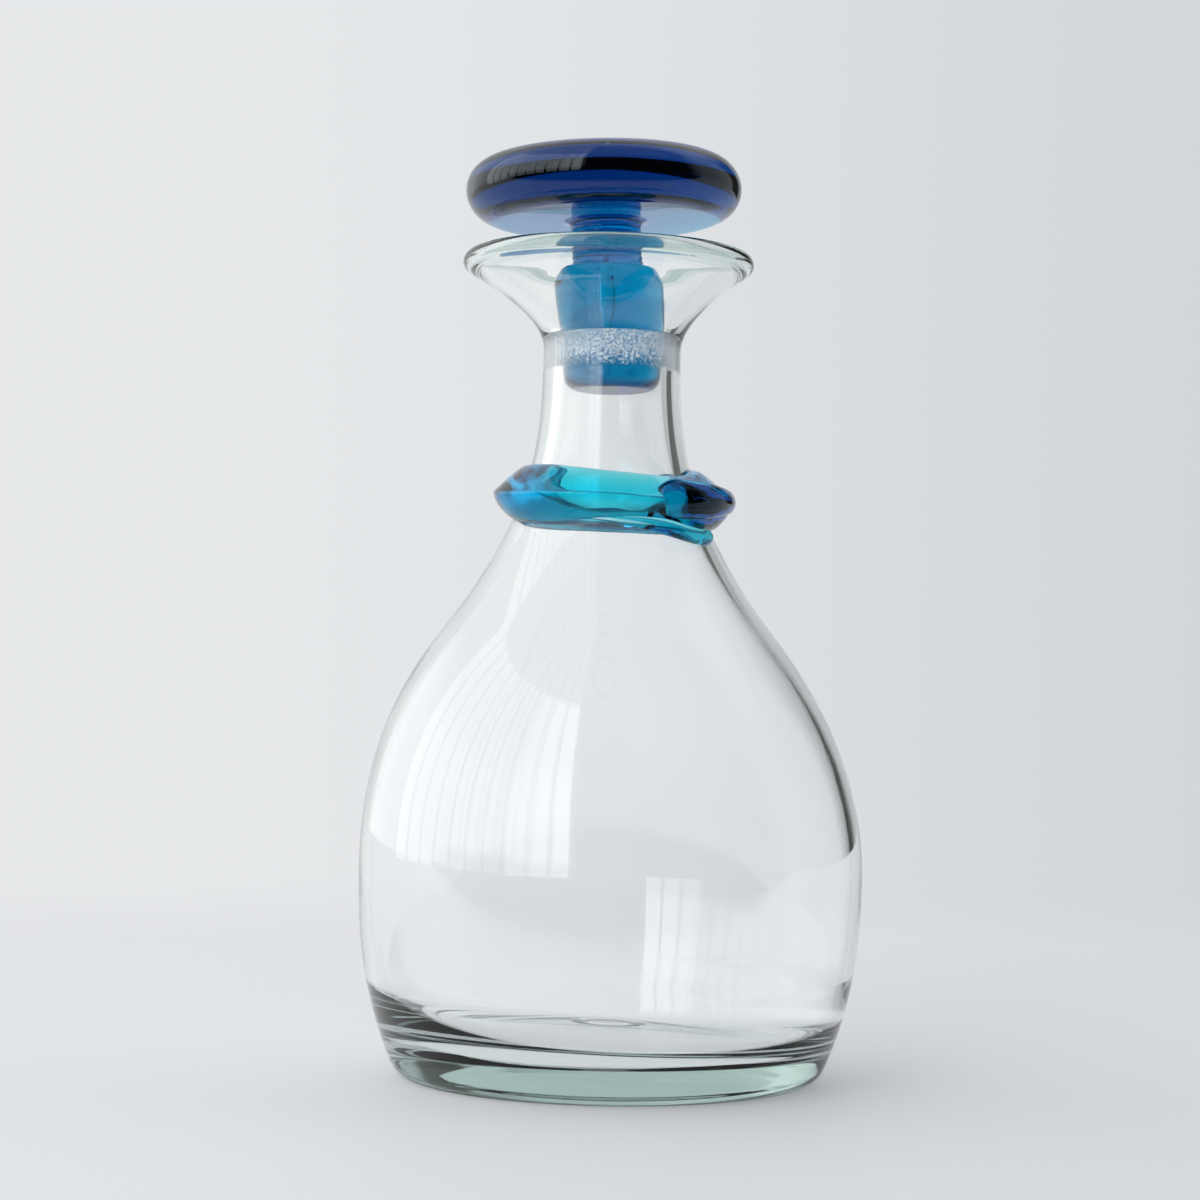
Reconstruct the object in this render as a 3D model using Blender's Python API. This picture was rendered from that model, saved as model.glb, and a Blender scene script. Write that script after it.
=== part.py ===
"""A hand-blown glass decanter: a clear bottle with a flared lip, an aqua glass trail wound round the foot of
its neck, and a solid blue stopper that rests in a ground taper in the neck.

Metres, +Z up. The bottle stands on Z = 0, centred on the Z axis at its foot and its belly. The front faces -Y.
"""

import math

import bmesh
import bpy
from mathutils import Vector

# Facets
BOTTLE_FACETS = 52
STOPPER_FACETS = 40
TRAIL_FACETS = 64
SHARP_ANGLE = math.radians(40)
# Share of a flat's radius at which the loops end and one polygon closes the middle
CAP_SHARE = 0.12

# Glasses
CLEAR_GLASS = (0.86, 0.90, 0.88)
AQUA_GLASS = (0.02, 0.42, 0.60)
COBALT_GLASS = (0.01, 0.11, 0.42)
GLASS_ROUGHNESS = 0.03
GLASS_TRANSMISSION = 0.9
GLASS_IOR = 1.5

# Foot of the bottle
HEEL_RADIUS = 0.0544
HEEL_HEIGHT = 0.0032
HEEL_SLOPE = 0.455
HEEL_ROLL = 0.0054
STANDING_RING_WIDTH = 0.0065
KICK_UP = 0.0062
PONTIL_RADIUS = 0.0066
PONTIL_HEIGHT = 0.0012
PONTIL_WIDTH = 0.0016

# Outer shape, each height counted from the one before it, slopes as radius gained per height
BELLY_HEIGHT = 0.0515
BELLY_RADIUS = 0.0635
SHOULDER_RISE = 0.0605
SHOULDER_RADIUS = 0.0420
SHOULDER_SLOPE = -0.785
NECK_FOOT_RISE = 0.0380
NECK_FOOT_RADIUS = 0.0212
NECK_FOOT_SLOPE = -0.305
NECK_RISE = 0.0340
NECK_RADIUS = 0.0175
FLARE_RISE = 0.0180
FLARE_RADIUS = 0.0328
FLARE_SLOPE = 1.45
BEAD_RISE = 0.0039
BEAD_RADIUS = 0.0026
# Where the round of the bead starts, past the flare's outer side, and where it ends inside the lip
BEAD_UNDERCUT = math.radians(15)
BEAD_END = math.radians(160)
LIP_RADIUS = 0.0371

# Glass thickness, square to the surface
FLOOR_GLASS = 0.0095
FLOOR_DOME = 0.0052
CAVITY_CORNER_WIDTH = 0.0200
CAVITY_CORNER_HEIGHT = 0.0245
BELLY_WALL = 0.0028
SHOULDER_WALL = 0.0030
NECK_WALL = 0.0048
FLARE_WALL = 0.0032

# Ground taper in the neck, which the stopper's plug rests in
SEAT_DROP = 0.0060
SEAT_LENGTH = 0.0105
SEAT_CUT = 0.00005
SEAT_SLOPE = 0.07

# How far the hot glass wandered to the left of the axis, and the cavity to the right at the floor
NECK_DRIFT = 0.0018
LIP_DRIFT = 0.0013
FLOOR_DRIFT = 0.0026

# Wound trail of aqua glass round the foot of the neck
TRAIL_DROP = 0.0040
TRAIL_EDGE = 0.0009
TRAIL_GAP = 0.0003
# Shares of a side's length that its curve keeps straight at the neck and bends by at the nose
TRAIL_SIDE_REACH = 0.42
TRAIL_NOSE_REACH = 0.20
# How steeply the sides leave the neck, as fall or rise per distance out, and how far the nose's face leans
TRAIL_CROWN_FALL = 0.70
TRAIL_FOOT_RISE = 0.55
TRAIL_NOSE_LEAN = 0.12
# Each row: degrees round from the front to the right, then top, bottom and nose above the trail's middle
# height, and how far the nose stands out from the neck
TRAIL_SHAPE = (
    (0, 0.0052, -0.0083, -0.0013, 0.0070),
    (35, 0.0043, -0.0096, -0.0012, 0.0074),
    (58, 0.0048, -0.0110, -0.0008, 0.0080),
    (76, 0.0062, -0.0088, -0.0002, 0.0082),
    (98, 0.0068, -0.0074, 0.0000, 0.0082),
    (150, 0.0062, -0.0066, 0.0003, 0.0070),
    (215, 0.0070, -0.0060, 0.0008, 0.0062),
    (270, 0.0079, -0.0042, 0.0008, 0.0064),
    (312, 0.0072, -0.0082, -0.0004, 0.0067),
)
# The trail's first end, a thick blob lapped over its last one
LAP_START = 24
LAP_END = 138
LAP_PROUD = 0.0016
LAP_SUNK = 0.0026
LAP_HALF_HEIGHT = 0.0056
# Shares of its length over which its blunt start swells and its far end sinks, of its full size at the
# start, of its height lost at the end, and of the trail's reach at which its inner side lies
LAP_SWELL_LENGTH = 0.16
LAP_SINK_LENGTH = 0.55
LAP_START_SIZE = 0.50
LAP_TAPER = 0.35
LAP_ROOT = 0.35
LAP_SHARPNESS = 1.5
LAP_STEPS = 18
LAP_SIDES = 12

# Stopper
PLUG_GAP = 0.0003
PLUG_BELOW_SEAT = 0.0045
PLUG_FOOT_ROLL = 0.0032
PLUG_SWELL = 0.0007
PLUG_ABOVE_LIP = 0.0004
PLUG_SHOULDER_ROLL = 0.0048
PLUG_SHOULDER_TURN = math.radians(80)
STEM_RADIUS = 0.0088
STEM_RISE = 0.0106
STEM_FILLET = 0.0022
STEM_RIDGE = 0.00018
STEM_RIDGES = 4
HEAD_RADIUS = 0.0352
HEAD_THICKNESS = 0.0158
HEAD_DOME = 0.0010
STEM_LEAN = 0.078
HEAD_TILT = math.radians(1.8)

# Radii and heights that follow from the sizes above
STANDING_RING_OUTER = HEEL_RADIUS - HEEL_ROLL
STANDING_RING_INNER = STANDING_RING_OUTER - STANDING_RING_WIDTH
SEAT_RADIUS = NECK_RADIUS - NECK_WALL + SEAT_CUT
SHOULDER_HEIGHT = BELLY_HEIGHT + SHOULDER_RISE
NECK_FOOT_HEIGHT = SHOULDER_HEIGHT + NECK_FOOT_RISE
NECK_HEIGHT = NECK_FOOT_HEIGHT + NECK_RISE
FLARE_HEIGHT = NECK_HEIGHT + FLARE_RISE
BEAD_HEIGHT = FLARE_HEIGHT + BEAD_RISE
SEAT_FOOT_HEIGHT = NECK_HEIGHT - SEAT_DROP
SEAT_TOP_HEIGHT = SEAT_FOOT_HEIGHT + SEAT_LENGTH
TRAIL_HEIGHT = NECK_FOOT_HEIGHT - TRAIL_DROP
PLUG_FOOT_HEIGHT = SEAT_FOOT_HEIGHT - PLUG_BELOW_SEAT
PLUG_TOP_HEIGHT = BEAD_HEIGHT + PLUG_ABOVE_LIP
HEAD_HEIGHT = PLUG_TOP_HEIGHT + STEM_RISE


def eased(share):
    """A smooth step from 0 to 1 as share goes from 0 to 1, level at both ends."""
    share = min(max(share, 0.0), 1.0)
    return share * share * (3 - 2 * share)


def cubic_between(start, end, position):
    """The value at a position on the cubic that joins two stations, each a position, a value and a slope."""
    length = end[0] - start[0]
    t = (position - start[0]) / length
    rise = (3 * t**2 - 2 * t**3) * (end[1] - start[1])
    return start[1] + rise + length * ((t - 2 * t**2 + t**3) * start[2] + (t**3 - t**2) * end[2])


def along_stations(stations, position):
    """The value at a position on the smooth curve through stations sorted by position."""
    for start, end in zip(stations, stations[1:]):
        if position <= end[0]:
            break
    return cubic_between(start, end, position)


OUTER_STATIONS = (
    (HEEL_HEIGHT, HEEL_RADIUS, HEEL_SLOPE),
    (BELLY_HEIGHT, BELLY_RADIUS, 0.0),
    (SHOULDER_HEIGHT, SHOULDER_RADIUS, SHOULDER_SLOPE),
    (NECK_FOOT_HEIGHT, NECK_FOOT_RADIUS, NECK_FOOT_SLOPE),
    (NECK_HEIGHT, NECK_RADIUS, 0.0),
    (FLARE_HEIGHT, FLARE_RADIUS, FLARE_SLOPE),
)

WALL_STATIONS = (
    (BELLY_HEIGHT, BELLY_WALL, 0.0),
    (SHOULDER_HEIGHT, SHOULDER_WALL, 0.0),
    (SEAT_FOOT_HEIGHT, NECK_WALL, 0.0),
    (NECK_HEIGHT, NECK_WALL, 0.0),
    (FLARE_HEIGHT, FLARE_WALL, 0.0),
)


def outer_radius(height):
    """The bottle's outer radius at a height between its heel and its flare."""
    return along_stations(OUTER_STATIONS, height)


def outer_slope(height):
    """Radius gained per height on the bottle's outer side, measured over a hundredth of a millimetre."""
    step = 0.00001
    return (outer_radius(height + step) - outer_radius(height)) / step


def seat_radius(height):
    """The ground taper's radius at a height."""
    return SEAT_RADIUS + SEAT_SLOPE * (height - SEAT_FOOT_HEIGHT)


def plug_radius(height):
    """The plug's radius where it rests in the ground taper, a gap smaller than the taper."""
    return seat_radius(height) - PLUG_GAP


def inner_radius(height):
    """The cavity's radius at a height, from the outer side, the wall and the ground taper."""
    wall = along_stations(WALL_STATIONS, max(height, BELLY_HEIGHT))
    blown = outer_radius(height) - wall * math.hypot(1.0, outer_slope(height))
    if SEAT_FOOT_HEIGHT <= height <= SEAT_TOP_HEIGHT:
        return max(blown, seat_radius(height))
    return blown


def neck_drift(height):
    """How far to the left the bottle's centre line runs at a height."""
    body = eased((height - BELLY_HEIGHT) / SHOULDER_RISE)
    lip = eased((height - SEAT_TOP_HEIGHT) / (BEAD_HEIGHT - SEAT_TOP_HEIGHT))
    return NECK_DRIFT * body + LIP_DRIFT * lip


def cavity_drift(height):
    """How far to the left the cavity's centre line runs, which starts to the right of the foot's."""
    return neck_drift(height) - FLOOR_DRIFT * (1 - eased(height / BELLY_HEIGHT))


def span(start, end, steps):
    """That many evenly spaced positions after start, the last of them at end."""
    return [start + (end - start) * (i + 1) / steps for i in range(steps)]


def arc(centre, radius, start, end, steps):
    """Points of an arc in the profile plane, with both its ends. Angles turn from +R to +Z."""
    angles = [start] + span(start, end, steps)
    return [(centre[0] + radius * math.cos(a), centre[1] + radius * math.sin(a)) for a in angles]


def bent_line(start, start_way, end, end_way, steps, start_reach=1 / 3, end_reach=1 / 3):
    """Points after start and before end on the curve that leaves and arrives along two given directions.

    The reaches say how far it holds each direction, as shares of the distance between its ends.
    """
    length = math.dist(start, end)
    handles = [start]
    handles.append(tuple(s + start_reach * length * w for s, w in zip(start, Vector(start_way).normalized())))
    handles.append(tuple(e - end_reach * length * w for e, w in zip(end, Vector(end_way).normalized())))
    handles.append(end)
    points = []
    for i in range(1, steps):
        t = i / steps
        shares = ((1 - t) ** 3, 3 * t * (1 - t) ** 2, 3 * t**2 * (1 - t), t**3)
        points.append(tuple(sum(s * h[axis] for s, h in zip(shares, handles)) for axis in (0, 1)))
    return points


def ring_points(centre, radius, facets):
    """The corners of a level circle."""
    turns = [math.tau * i / facets for i in range(facets)]
    return [Vector(centre) + Vector((radius * math.cos(a), radius * math.sin(a), 0)) for a in turns]


def skinned_object(name, loops, material, closes_on_itself=False):
    """An object whose skin runs from each loop of points to the next, capped at both ends or joined round."""
    mesh = bmesh.new()
    rows = [[mesh.verts.new(point) for point in points] for points in loops]
    if closes_on_itself:
        rows.append(rows[0])
    for lower, upper in zip(rows, rows[1:]):
        for i in range(len(lower)):
            mesh.faces.new((lower[i - 1], lower[i], upper[i], upper[i - 1]))
    if not closes_on_itself:
        mesh.faces.new(rows[0])
        mesh.faces.new(rows[-1])
    bmesh.ops.recalc_face_normals(mesh, faces=mesh.faces)
    data = bpy.data.meshes.new(name)
    mesh.to_mesh(data)
    mesh.free()
    data.shade_smooth()
    data.set_sharp_from_angle(angle=SHARP_ANGLE)
    item = bpy.data.objects.new(name, data)
    bpy.context.scene.collection.objects.link(item)
    if material is not None:
        data.materials.append(material)
    return item


def glass(name, colour):
    """A transparent glass of one colour."""
    material = bpy.data.materials.new(name)
    material.use_nodes = True
    shader = material.node_tree.nodes["Principled BSDF"]
    shader.inputs["Base Color"].default_value = (*colour, 1)
    shader.inputs["Roughness"].default_value = GLASS_ROUGHNESS
    shader.inputs["Metallic"].default_value = 0.0
    shader.inputs["IOR"].default_value = GLASS_IOR
    shader.inputs["Transmission Weight"].default_value = GLASS_TRANSMISSION
    return material


def underside_profile():
    """The foot from the middle out: pontil scar, pushed-up dome, standing ring and rolled heel."""

    def dome(radius):
        return KICK_UP * (1 - (radius / STANDING_RING_INNER) ** 2) ** 2

    scar_inner = PONTIL_RADIUS - PONTIL_WIDTH
    scar_outer = PONTIL_RADIUS + PONTIL_WIDTH
    points = [(scar_inner, dome(scar_inner))]
    points.append((PONTIL_RADIUS, dome(PONTIL_RADIUS) - PONTIL_HEIGHT))
    points.append((scar_outer, dome(scar_outer)))
    points += [(radius, dome(radius)) for radius in span(scar_outer, STANDING_RING_INNER, 5)]
    standing_edge = (STANDING_RING_OUTER, 0.0)
    heel = (HEEL_RADIUS, HEEL_HEIGHT)
    points.append(standing_edge)
    points += bent_line(standing_edge, (1, 0), heel, (HEEL_SLOPE, 1), 3)
    return points


def outer_profile():
    """The outer side from the heel to the top of the flare."""
    heights = [HEEL_HEIGHT]
    heights += span(HEEL_HEIGHT, BELLY_HEIGHT, 5)
    heights += span(BELLY_HEIGHT, SHOULDER_HEIGHT, 8)
    heights += span(SHOULDER_HEIGHT, NECK_FOOT_HEIGHT, 5)
    heights += span(NECK_FOOT_HEIGHT, NECK_HEIGHT, 3)
    heights += span(NECK_HEIGHT, FLARE_HEIGHT, 5)
    return [(outer_radius(height), height) for height in heights]


def bead_profile():
    """The fire-polished rim, a round bead that the flare runs into from below and the cavity from inside."""
    centre = (LIP_RADIUS - BEAD_RADIUS, BEAD_HEIGHT)
    start = -math.atan2(1.0, FLARE_SLOPE) - BEAD_UNDERCUT
    return arc(centre, BEAD_RADIUS, start, BEAD_END, 8)


def cavity_profile():
    """The inner side from the rim down to the middle of the floor."""
    flare_inner = (inner_radius(FLARE_HEIGHT), FLARE_HEIGHT)
    rim = bead_profile()[-1]
    rim_way = (-math.sin(BEAD_END), math.cos(BEAD_END))
    points = bent_line(rim, rim_way, flare_inner, (-FLARE_SLOPE, -1), 3)
    heights = [FLARE_HEIGHT]
    heights += span(FLARE_HEIGHT, SEAT_TOP_HEIGHT, 4)
    heights += span(SEAT_TOP_HEIGHT, SEAT_FOOT_HEIGHT, 2)
    heights += span(SEAT_FOOT_HEIGHT, NECK_FOOT_HEIGHT, 3)
    heights += span(NECK_FOOT_HEIGHT, SHOULDER_HEIGHT, 5)
    heights += span(SHOULDER_HEIGHT, BELLY_HEIGHT, 7)
    corner_top = FLOOR_GLASS + CAVITY_CORNER_HEIGHT
    heights += span(BELLY_HEIGHT, corner_top, 2)
    points += [(inner_radius(height), height) for height in heights]
    corner_radius = inner_radius(corner_top) - CAVITY_CORNER_WIDTH
    for turn in span(0.0, math.pi / 2, 6):
        reach = CAVITY_CORNER_WIDTH * math.cos(turn)
        points.append((corner_radius + reach, corner_top - CAVITY_CORNER_HEIGHT * math.sin(turn)))
    for radius in span(corner_radius, CAP_SHARE * corner_radius, 4):
        lift = FLOOR_DOME * (1 - (radius / corner_radius) ** 2) ** 2
        points.append((radius, FLOOR_GLASS + lift))
    return points


def make_bottle(material):
    """The blown bottle: one skin from the pontil scar out, up, over the rim and down to the cavity's floor."""
    loops = []
    for radius, height in underside_profile() + outer_profile() + bead_profile():
        loops.append(ring_points((-neck_drift(height), 0, height), radius, BOTTLE_FACETS))
    for radius, height in cavity_profile():
        loops.append(ring_points((-cavity_drift(height), 0, height), radius, BOTTLE_FACETS))
    return skinned_object("bottle", loops, material)


def trail_station(degrees):
    """Top, bottom and nose heights and the nose's reach at an angle round the neck, on smooth closed curves."""
    angles = [row[0] for row in TRAIL_SHAPE]
    count = len(angles)
    degrees %= 360
    index = max(i for i in range(count) if angles[i] <= degrees)

    def station(i, column):
        turn, place = divmod(i, count)
        before, after = (i - 1) % count, (i + 1) % count
        width = (angles[after] - angles[before]) % 360
        slope = (TRAIL_SHAPE[after][column] - TRAIL_SHAPE[before][column]) / width
        return (angles[place] + 360 * turn, TRAIL_SHAPE[place][column], slope)

    return [cubic_between(station(index, c), station(index + 1, c), degrees) for c in range(1, 5)]


def trail_section(top, bottom, nose, reach):
    """One section of the trail as radius and height pairs: up the neck's side, then over the nose and back."""
    low, high = TRAIL_HEIGHT + bottom, TRAIL_HEIGHT + top
    inner = [(outer_radius(height) + TRAIL_GAP, height) for height in [low] + span(low, high, 3)]
    foot = (inner[0][0] + TRAIL_EDGE, low)
    crown = (inner[-1][0] + TRAIL_EDGE, high)
    tip = (outer_radius(TRAIL_HEIGHT) + TRAIL_GAP + reach, TRAIL_HEIGHT + nose)
    crown_way, foot_way = (1, -TRAIL_CROWN_FALL), (-1, -TRAIL_FOOT_RISE)
    reaches = (TRAIL_SIDE_REACH, TRAIL_NOSE_REACH)
    upper = bent_line(crown, crown_way, tip, (TRAIL_NOSE_LEAN, -1), 5, *reaches)
    lower = bent_line(tip, (-TRAIL_NOSE_LEAN, -1), foot, foot_way, 5, *reversed(reaches))
    return inner + [crown] + upper + [tip] + lower + [foot]


def round_the_neck(degrees, radius, height):
    """The point at an angle from the front to the right, a radius from the neck's own axis and a height."""
    turn = math.radians(degrees)
    return Vector((radius * math.sin(turn) - neck_drift(TRAIL_HEIGHT), -radius * math.cos(turn), height))


def make_trail(material):
    """The wound trail: a closed wedge round the neck, with its thick first end lapped over the right side."""
    loops = []
    for i in range(TRAIL_FACETS):
        degrees = 360 * i / TRAIL_FACETS
        section = trail_section(*trail_station(degrees))
        loops.append([round_the_neck(degrees, radius, height) for radius, height in section])
    trail = skinned_object("neck_collar", loops, material, closes_on_itself=True)
    lap = make_lap()
    join = trail.modifiers.new("lapped end", "BOOLEAN")
    join.operation = "UNION"
    join.solver = "EXACT"
    join.object = lap
    return trail


def pinched(share):
    """A share from -1 to 1, drawn in between its ends, which turns an oval section into a soft diamond."""
    return math.copysign(abs(share) ** LAP_SHARPNESS, share)


def make_lap():
    """The blob at the trail's first end, blunt at its start and sinking into the trail at its far end."""
    loops = []
    for i in range(LAP_STEPS + 1):
        share = i / LAP_STEPS
        degrees = LAP_START + (LAP_END - LAP_START) * share
        nose, reach = trail_station(degrees)[2:]
        swell = LAP_START_SIZE + (1 - LAP_START_SIZE) * eased(share / LAP_SWELL_LENGTH)
        sink = eased((share - 1 + LAP_SINK_LENGTH) / LAP_SINK_LENGTH)
        half_height = LAP_HALF_HEIGHT * swell * (1 - LAP_TAPER * sink)
        inner = outer_radius(TRAIL_HEIGHT) + TRAIL_GAP + LAP_ROOT * reach
        proud = (LAP_PROUD - (LAP_PROUD + LAP_SUNK) * sink) * swell
        outer = outer_radius(TRAIL_HEIGHT) + TRAIL_GAP + reach + proud
        middle = (outer + inner) / 2
        half_width = (outer - inner) / 2 * swell
        loop = []
        for side in range(LAP_SIDES):
            turn = math.tau * side / LAP_SIDES
            radius = middle + half_width * pinched(math.cos(turn))
            height = TRAIL_HEIGHT + nose + half_height * pinched(math.sin(turn))
            loop.append(round_the_neck(degrees, radius, height))
        loops.append(loop)
    lap = skinned_object("trail_lap_guide", loops, None)
    lap.hide_render = True
    lap.display_type = "WIRE"
    return lap


def stopper_profile():
    """The stopper's side from the middle of the plug's foot up to the middle of the head's top."""
    roll_height = PLUG_FOOT_HEIGHT + PLUG_FOOT_ROLL
    roll_radius = plug_radius(roll_height) - PLUG_FOOT_ROLL
    points = [(CAP_SHARE * roll_radius, PLUG_FOOT_HEIGHT)]
    points += arc((roll_radius, roll_height), PLUG_FOOT_ROLL, -math.pi / 2, 0, 4)
    points += [(plug_radius(height), height) for height in span(roll_height, SEAT_TOP_HEIGHT, 3)]
    seat_top = points[-1]
    shoulder = (seat_top[0] + PLUG_SWELL, PLUG_TOP_HEIGHT - PLUG_SHOULDER_ROLL)
    points += bent_line(seat_top, (SEAT_SLOPE, 1), shoulder, (0, 1), 3)
    shoulder_centre = (shoulder[0] - PLUG_SHOULDER_ROLL, shoulder[1])
    points += arc(shoulder_centre, PLUG_SHOULDER_ROLL, 0, PLUG_SHOULDER_TURN, 4)
    ridge_steps = 3 * STEM_RIDGES
    for i in range(ridge_steps + 1):
        share = i / ridge_steps
        height = PLUG_TOP_HEIGHT + (STEM_RISE - STEM_FILLET) * share
        ridge = STEM_RIDGE * (1 - math.cos(math.tau * STEM_RIDGES * share)) / 2
        points.append((STEM_RADIUS + ridge, height))
    fillet_centre = (STEM_RADIUS + STEM_FILLET, HEAD_HEIGHT - STEM_FILLET)
    points += arc(fillet_centre, STEM_FILLET, math.pi, math.pi / 2, 4)[1:]
    half = HEAD_THICKNESS / 2
    rim_centre = (HEAD_RADIUS - half, HEAD_HEIGHT + half)
    points.append(((fillet_centre[0] + rim_centre[0]) / 2, HEAD_HEIGHT))
    points += arc(rim_centre, half, -math.pi / 2, math.pi / 2, 12)
    for radius in span(rim_centre[0], CAP_SHARE * rim_centre[0], 3):
        lift = HEAD_DOME * (1 - (radius / rim_centre[0]) ** 2)
        points.append((radius, HEAD_HEIGHT + HEAD_THICKNESS + lift))
    return points


def make_stopper(material):
    """The stopper, one solid lump of glass: true in its seat, with its stem and head leaning to the left.

    Its origin lies on the neck's own axis, along which it lifts out, at the top of the ground taper.
    """
    loops = []
    for radius, height in stopper_profile():
        lean = STEM_LEAN * max(height - SEAT_TOP_HEIGHT, 0.0)
        tilt = math.tan(HEAD_TILT) * eased((height - PLUG_TOP_HEIGHT) / STEM_RISE)
        loop = ring_points((0, 0, height - SEAT_TOP_HEIGHT), radius, STOPPER_FACETS)
        for point in loop:
            point.z += tilt * point.x
            point.x -= lean
        loops.append(loop)
    stopper = skinned_object("stopper", loops, material)
    stopper.location = (-neck_drift(SEAT_TOP_HEIGHT), 0, SEAT_TOP_HEIGHT)
    return stopper


def main():
    """Clears the scene and makes the three pieces."""
    for item in list(bpy.data.objects):
        bpy.data.objects.remove(item)
    make_bottle(glass("clear glass", CLEAR_GLASS))
    make_trail(glass("aqua glass", AQUA_GLASS))
    make_stopper(glass("cobalt glass", COBALT_GLASS))


main()
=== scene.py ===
"""The looks of a hand-blown glass decanter: clear bottle, aqua trail round its neck and blue stopper.

Metres, +Z up, the front towards -Y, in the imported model's own frame. A profile is pairs of radius and height.
"""

import logging
import math
from dataclasses import dataclass
from enum import Enum

import bpy
from bpy.types import Material, Node, NodeTree, Object
from bpy.types import NodeSocket as Socket, ShaderNodeTree as Group, bpy_prop_collection as Sockets
from mathutils import Matrix, Vector


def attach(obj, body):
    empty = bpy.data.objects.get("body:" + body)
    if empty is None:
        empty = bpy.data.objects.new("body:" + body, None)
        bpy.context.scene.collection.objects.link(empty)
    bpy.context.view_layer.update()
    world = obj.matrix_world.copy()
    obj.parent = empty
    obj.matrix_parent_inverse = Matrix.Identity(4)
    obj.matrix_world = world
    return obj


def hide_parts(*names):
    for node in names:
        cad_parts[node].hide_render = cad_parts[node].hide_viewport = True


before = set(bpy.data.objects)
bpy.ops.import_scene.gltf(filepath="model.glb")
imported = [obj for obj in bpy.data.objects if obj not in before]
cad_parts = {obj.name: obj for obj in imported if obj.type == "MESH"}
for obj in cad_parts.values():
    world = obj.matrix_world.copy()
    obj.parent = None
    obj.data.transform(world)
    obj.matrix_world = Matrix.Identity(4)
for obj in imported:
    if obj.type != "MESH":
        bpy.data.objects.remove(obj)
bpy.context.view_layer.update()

MILLIMETRE = 0.001
NECK_DRIFT = 0.0018
SMOOTH_ANGLE = math.radians(35)
NEVER_TURNED = 4.0
WHITE = (1.0, 1.0, 1.0)

Pair = tuple[float, float]
Profile = list[Pair]
Colour = tuple[float, float, float]

log = logging.getLogger("decanter")


class Body(Enum):
    """The two bodies that the pieces ride on."""

    BOTTLE = "bottle"
    STOPPER = "stopper"


class Slot(Enum):
    """The record's material slots."""

    CLEAR = "clear_glass"
    AQUA = "aqua_glass"
    COBALT = "cobalt_glass"


def eased(share: float) -> float:
    """Gives a smooth step from 0 to 1, level at both ends, for a share of the way."""
    share = min(max(share, 0.0), 1.0)
    return share * share * (3 - 2 * share)


def span(start: float, end: float, steps: int) -> list[float]:
    """Gives evenly spaced positions after start, the last of them at end."""
    return [start + (end - start) * (i + 1) / steps for i in range(steps)]


@dataclass(frozen=True)
class Station:
    """A place on a smooth curve: a position, the value there and the slope there."""

    position: float
    value: float
    slope: float = 0.0


@dataclass(frozen=True)
class SmoothCurve:
    """A curve of cubics through stations that are sorted by position."""

    stations: tuple[Station, ...]

    def at(self, position: float) -> float:
        """Reads the curve.

        Args:
            position: Where to read it.

        Returns:
            The value there.
        """
        for start, end in zip(self.stations, self.stations[1:]):
            if position <= end.position:
                break
        length = end.position - start.position
        t = (position - start.position) / length
        rise = (3 * t**2 - 2 * t**3) * (end.value - start.value)
        bend = (t - 2 * t**2 + t**3) * start.slope + (t**3 - t**2) * end.slope
        return start.value + rise + length * bend

    def slope_at(self, position: float) -> float:
        """Gives the slope of the curve at a position, measured over a hundredth of a millimetre."""
        step = 0.01 * MILLIMETRE
        return (self.at(position + step) - self.at(position)) / step


@dataclass(frozen=True)
class Ring:
    """A circle of the glass: its height, its radius, its place along X and its tip about Y."""

    height: float
    radius: float
    aside: float = 0.0
    tip: float = 0.0

    @property
    def centre(self) -> Vector:
        """The circle's middle."""
        return Vector((self.aside, 0, self.height))


def arc(centre: Pair, radius: float, start: float, end: float, steps: int) -> Profile:
    """Gives the points of an arc, with both its ends. Its angles turn from outwards to upwards."""
    angles = [start] + span(start, end, steps)
    return [(centre[0] + radius * math.cos(a), centre[1] + radius * math.sin(a)) for a in angles]


def bent_line(start: Pair, start_way: Pair, end: Pair, end_way: Pair, steps: int) -> Profile:
    """Gives the points between two ends on the curve that leaves and arrives along two directions.

    Args:
        start: The first end, as radius and height.
        start_way: The direction it leaves in.
        end: The other end.
        end_way: The direction it arrives in.
        steps: How many stretches it has.

    Returns:
        The points after start and before end.
    """
    reach = math.dist(start, end) / 3
    first, last = Vector(start), Vector(end)
    leaving = first + reach * Vector(start_way).normalized()
    arriving = last - reach * Vector(end_way).normalized()
    points = []
    for t in span(0.0, 1.0, steps)[:-1]:
        shares = ((1 - t) ** 3, 3 * t * (1 - t) ** 2, 3 * t**2 * (1 - t), t**3)
        place = sum((s * h for s, h in zip(shares, (first, leaving, arriving, last))), Vector((0, 0)))
        points.append((place.x, place.y))
    return points


def deselect_all() -> None:
    """Leaves nothing selected, so that the next operator acts on new work alone."""
    bpy.ops.object.select_all(action="DESELECT")


def make_active(item: Object) -> None:
    """Selects one object and nothing else."""
    deselect_all()
    item.select_set(True)
    bpy.context.view_layer.objects.active = item


def apply_modifier(item: Object, kind: str, **settings: object) -> None:
    """Adds a modifier to an object and applies it.

    Args:
        item: The object.
        kind: The modifier's type.
        **settings: The modifier's own settings.
    """
    make_active(item)
    modifier = item.modifiers.new(kind.lower(), kind)
    for name, value in settings.items():
        setattr(modifier, name, value)
    bpy.ops.object.modifier_apply(modifier=modifier.name)


def face_outwards(item: Object) -> None:
    """Merges doubles and points every face outwards."""
    make_active(item)
    bpy.ops.object.mode_set(mode="EDIT")
    bpy.ops.mesh.select_all(action="SELECT")
    bpy.ops.mesh.remove_doubles(threshold=0.001 * MILLIMETRE)
    bpy.ops.mesh.normals_make_consistent(inside=False)
    bpy.ops.object.mode_set(mode="OBJECT")


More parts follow.
